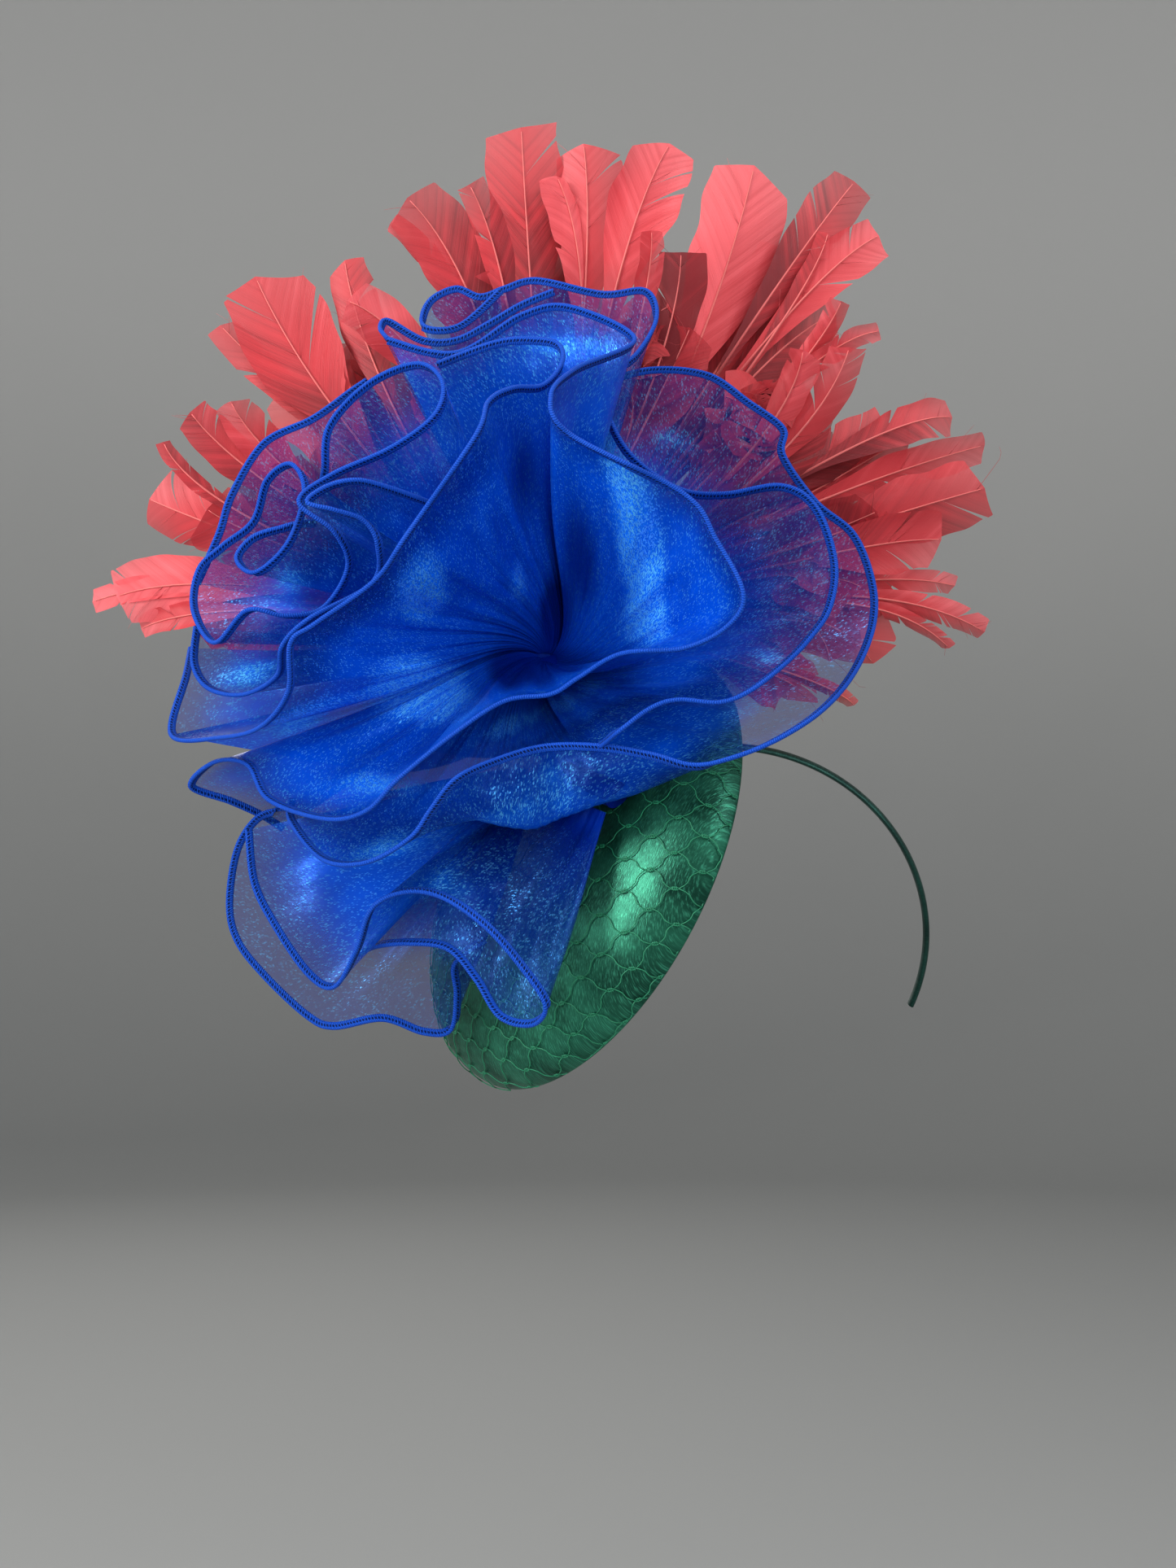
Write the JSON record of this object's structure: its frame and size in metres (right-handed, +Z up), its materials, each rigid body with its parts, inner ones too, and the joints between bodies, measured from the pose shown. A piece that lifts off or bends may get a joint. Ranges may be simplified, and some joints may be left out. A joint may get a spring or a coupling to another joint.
{
  "type": "fascinator hat",
  "caption": "Large fascinator: a domed satin base under veiling on a thin headband, with a ruffled organza flower and a fan of feathers.",
  "frame": {"origin": "underside of the headband's crown, where it rests on the top of the head", "axes": "+Z up, the wearer faces -Y, +X to the wearer's left"},
  "size_m": [0.3379, 0.164, 0.3538],
  "materials": {
    "satin": "emerald green satin with a soft sheen",
    "veiling": "green nylon birdcage net",
    "band_satin": "dark green satin ribbon",
    "organza": "sheer royal blue crystal organza with rolled hems",
    "feather": "coral dyed goose feathers, cut square at the tips"
  },
  "bodies": {
    "root": {"percher_base": "satin", "veil_net": "veiling", "headband": "band_satin", "band_strap": "band_satin", "flower_knot": "organza", "ruffle_seam": "organza", "ruffle_front": "organza", "ruffle_back": "organza", "feather_hub": "organza", "petal_front": "organza", "petal_left": "organza", "petal_top": "organza", "petal_right": "organza", "petal_outer": "organza", "petal_swirl": "organza", "petal_left_middle": "organza", "petal_left_outer": "organza", "feathers_left": "feather", "feathers_left_upper": "feather", "feathers_upper_left": "feather", "feathers_top_left": "feather", "feathers_top": "feather", "feathers_top_middle": "feather", "feathers_top_right": "feather", "feathers_right_upper": "feather", "feathers_right": "feather", "feathers_right_middle": "feather", "feathers_right_lower": "feather"}
  },
  "joints": []
}
